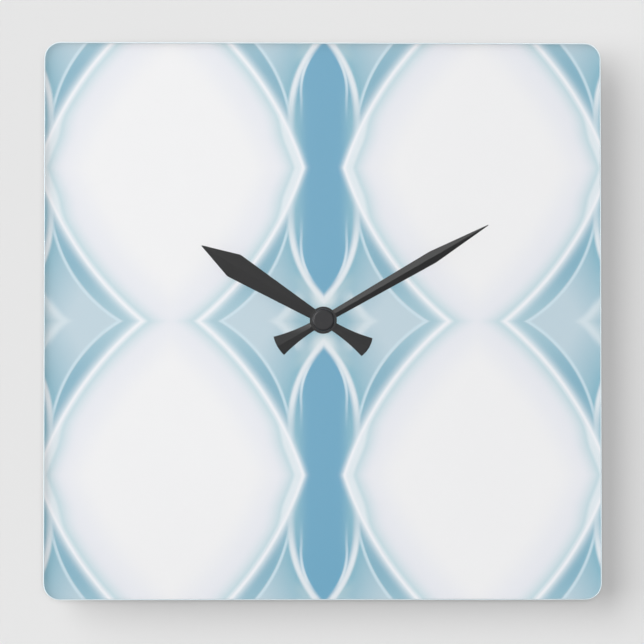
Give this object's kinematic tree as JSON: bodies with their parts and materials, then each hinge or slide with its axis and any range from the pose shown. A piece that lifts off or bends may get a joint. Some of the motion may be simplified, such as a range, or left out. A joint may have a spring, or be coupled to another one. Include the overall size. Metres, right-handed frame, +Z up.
{
  "type": "wall clock",
  "caption": "Square clear acrylic wall clock with a pale blue repeat pattern, dark tapered hands and a quartz movement with a keyhole hanger.",
  "frame": {"origin": "on the hand shaft's axis, at the movement's flat rear, which lies on the wall", "axes": "+Z up, +Y into the wall, so the face looks along -Y; +X to the right of a person reading the clock"},
  "size_m": [0.273, 0.0294, 0.273],
  "materials": {
    "clear_acrylic": "polished clear acrylic sheet",
    "film": "print in soft blues and white on plastic film",
    "rubber": "matt black rubber",
    "brass": "turned and stamped brass",
    "hand_paint": "pressed aluminium with satin charcoal paint",
    "cap_plastic": "satin charcoal plastic",
    "case_plastic": "fine textured black plastic",
    "white_plastic": "natural white acetal",
    "gear_plastic": "moulded acetal gears",
    "spring_steel": "nickel plated spring steel",
    "magnet": "sintered magnet, dark grey",
    "soft_iron": "stamped soft iron",
    "copper_wire": "fine enamelled copper wire",
    "board_laminate": "tan phenolic board",
    "epoxy": "black epoxy",
    "plated_can": "plated metal can",
    "cell_can": "nickel plated steel can",
    "cell_wrap": "printed plastic sleeve, plain bands"
  },
  "bodies": {
    "case": {"acrylic_face": "clear_acrylic", "printed_film": "film", "rubber_gasket": "rubber", "fixing_washer": "brass", "fixing_nut": "brass", "movement_case_front": "case_plastic", "movement_case_rear": "case_plastic", "threaded_bush": "brass", "middle_plate": "white_plastic", "stator": "soft_iron", "coil_core": "soft_iron", "coil_bobbin": "white_plastic", "coil_winding": "copper_wire", "circuit_board": "board_laminate", "driver_chip": "epoxy", "quartz_crystal": "plated_can", "contact_positive": "spring_steel", "contact_negative": "spring_steel"},
    "minute": {"minute_hand": "hand_paint", "minute_hand_bush": "brass", "hand_cap": "cap_plastic", "minute_pipe": "white_plastic", "centre_wheel": "gear_plastic", "clutch_spring": "spring_steel"},
    "hour": {"hour_hand": "hand_paint", "hour_hand_bush": "brass", "hour_wheel": "gear_plastic"},
    "motion": {"motion_wheel": "gear_plastic"},
    "setting": {"setting_knob": "gear_plastic"},
    "third": {"third_wheel": "gear_plastic"},
    "second": {"second_wheel": "gear_plastic", "second_arbor": "spring_steel"},
    "fifth": {"fifth_wheel": "gear_plastic"},
    "rotor": {"rotor_pinion": "gear_plastic", "rotor_magnet": "magnet"},
    "battery": {"battery_can": "cell_can", "battery_wrap": "cell_wrap", "battery_seal": "epoxy"}
  },
  "joints": [
    {"name": "minute_spin", "type": "hinge", "parent": "case", "child": "minute", "pos_m": [0, 0, 0], "axis": [0, 1, 0], "continuous": true},
    {"name": "hour_spin", "type": "hinge", "parent": "case", "child": "hour", "pos_m": [0, 0, 0], "axis": [0, 1, 0], "continuous": true},
    {"name": "motion_spin", "type": "hinge", "parent": "case", "child": "motion", "pos_m": [0.00788, 0, -0.00139], "axis": [0, 1, 0], "continuous": true},
    {"name": "setting_spin", "type": "hinge", "parent": "case", "child": "setting", "pos_m": [0.01684, 0, -0.0006], "axis": [0, 1, 0], "continuous": true},
    {"name": "third_spin", "type": "hinge", "parent": "case", "child": "third", "pos_m": [-0.00886, 0, 0.00156], "axis": [0, 1, 0], "continuous": true},
    {"name": "second_spin", "type": "hinge", "parent": "case", "child": "second", "pos_m": [0, 0, 0], "axis": [0, 1, 0], "continuous": true},
    {"name": "fifth_spin", "type": "hinge", "parent": "case", "child": "fifth", "pos_m": [0.00604, 0, 0.00667], "axis": [0, 1, 0], "continuous": true},
    {"name": "rotor_spin", "type": "hinge", "parent": "case", "child": "rotor", "pos_m": [0, 0, 0.013], "axis": [0, 1, 0], "continuous": true},
    {"name": "battery_slide", "type": "slide", "parent": "case", "child": "battery", "axis": [0, 1, 0], "range_m": [0, 0.02]}
  ],
  "couplings": [
    {"joint": "hour_spin", "follows": "minute_spin", "ratio": 0.083333},
    {"joint": "motion_spin", "follows": "minute_spin", "ratio": -0.33333},
    {"joint": "setting_spin", "follows": "minute_spin", "ratio": 0.66667},
    {"joint": "third_spin", "follows": "minute_spin", "ratio": -8},
    {"joint": "second_spin", "follows": "minute_spin", "ratio": 60},
    {"joint": "fifth_spin", "follows": "minute_spin", "ratio": -300},
    {"joint": "rotor_spin", "follows": "minute_spin", "ratio": 1800}
  ]
}
